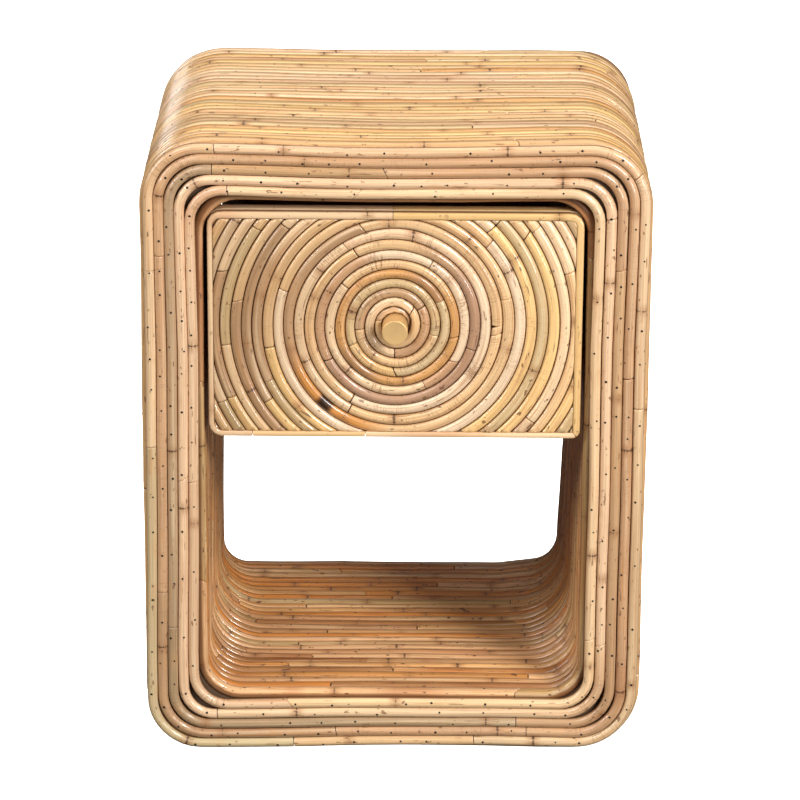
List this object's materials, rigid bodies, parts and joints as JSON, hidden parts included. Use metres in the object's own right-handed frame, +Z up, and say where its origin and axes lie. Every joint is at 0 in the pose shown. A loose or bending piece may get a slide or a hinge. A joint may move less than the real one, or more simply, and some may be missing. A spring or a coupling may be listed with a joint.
{
  "type": "side table with drawer",
  "caption": "Side table of bent rattan poles: a rounded rectangular frame, open right through, with a drawer faced by a coil of poles and a brass knob.",
  "frame": {"origin": "middle of the frame's footprint at floor level, between the outermost faces of the frame's poles", "axes": "+Z up, +X to the right of someone facing the drawer, the drawer opens towards -Y"},
  "size_m": [0.4, 0.3105, 0.514],
  "materials": {
    "rattan_pole": "clear glossy lacquer over pale honey rattan poles, with nodes, scars and butt joints",
    "rattan_coil": "clear glossy lacquer over bent rattan, finely cracked across the bend, a few rings tinted brown or pink",
    "cane_binding": "smooth lacquered cane strip",
    "carcass_wood": "plain sawn light hardwood",
    "drawer_wood": "planed light hardwood and plywood, satin",
    "brass": "brushed satin brass",
    "steel": "dark plain steel"
  },
  "bodies": {
    "frame": {"back_brads": "steel", "back_ring_1": "rattan_pole", "back_ring_2": "rattan_pole", "back_ring_3": "rattan_pole", "back_ring_4": "rattan_pole", "back_ring_5": "rattan_pole", "carcass_bottom_board": "carcass_wood", "carcass_corner_bottom_left": "carcass_wood", "carcass_corner_bottom_right": "carcass_wood", "carcass_corner_top_left": "carcass_wood", "carcass_corner_top_right": "carcass_wood", "carcass_left_board": "carcass_wood", "carcass_right_board": "carcass_wood", "carcass_top_board": "carcass_wood", "drawer_runner_left": "carcass_wood", "drawer_runner_right": "carcass_wood", "drawer_stop_left": "carcass_wood", "drawer_stop_right": "carcass_wood", "front_brads": "steel", "front_ring_1": "rattan_pole", "front_ring_2": "rattan_pole", "front_ring_3": "rattan_pole", "front_ring_4": "rattan_pole", "front_ring_5": "rattan_pole", "inner_pole_01": "rattan_pole", "inner_pole_07": "rattan_pole", "inner_pole_13": "rattan_pole", "inner_pole_18": "rattan_pole", "inner_pole_24": "rattan_pole", "inner_pole_30": "rattan_pole", "inner_poles_02_to_06": "rattan_pole", "inner_poles_08_to_12": "rattan_pole", "inner_poles_14_to_17": "rattan_pole", "inner_poles_19_to_23": "rattan_pole", "inner_poles_25_to_29": "rattan_pole", "outer_pole_01": "rattan_pole", "outer_pole_07": "rattan_pole", "outer_pole_13": "rattan_pole", "outer_pole_18": "rattan_pole", "outer_pole_24": "rattan_pole", "outer_pole_30": "rattan_pole", "outer_poles_02_to_06": "rattan_pole", "outer_poles_08_to_12": "rattan_pole", "outer_poles_14_to_17": "rattan_pole", "outer_poles_19_to_23": "rattan_pole", "outer_poles_25_to_29": "rattan_pole", "runner_screws_left": "steel", "runner_screws_right": "steel"},
    "drawer": {"drawer_back": "drawer_wood", "drawer_back_dowels": "drawer_wood", "drawer_bottom": "drawer_wood", "drawer_coil_arcs": "rattan_coil", "drawer_coil_rings": "rattan_coil", "drawer_edge_binding": "cane_binding", "drawer_front_dowels": "drawer_wood", "drawer_front_panel": "drawer_wood", "drawer_knob": "brass", "drawer_knob_screw": "steel", "drawer_side_left": "drawer_wood", "drawer_side_right": "drawer_wood"}
  },
  "joints": [
    {"name": "drawer_slide", "type": "slide", "parent": "frame", "child": "drawer", "axis": [0, -1, 0], "range_m": [0, 0.2]}
  ]
}
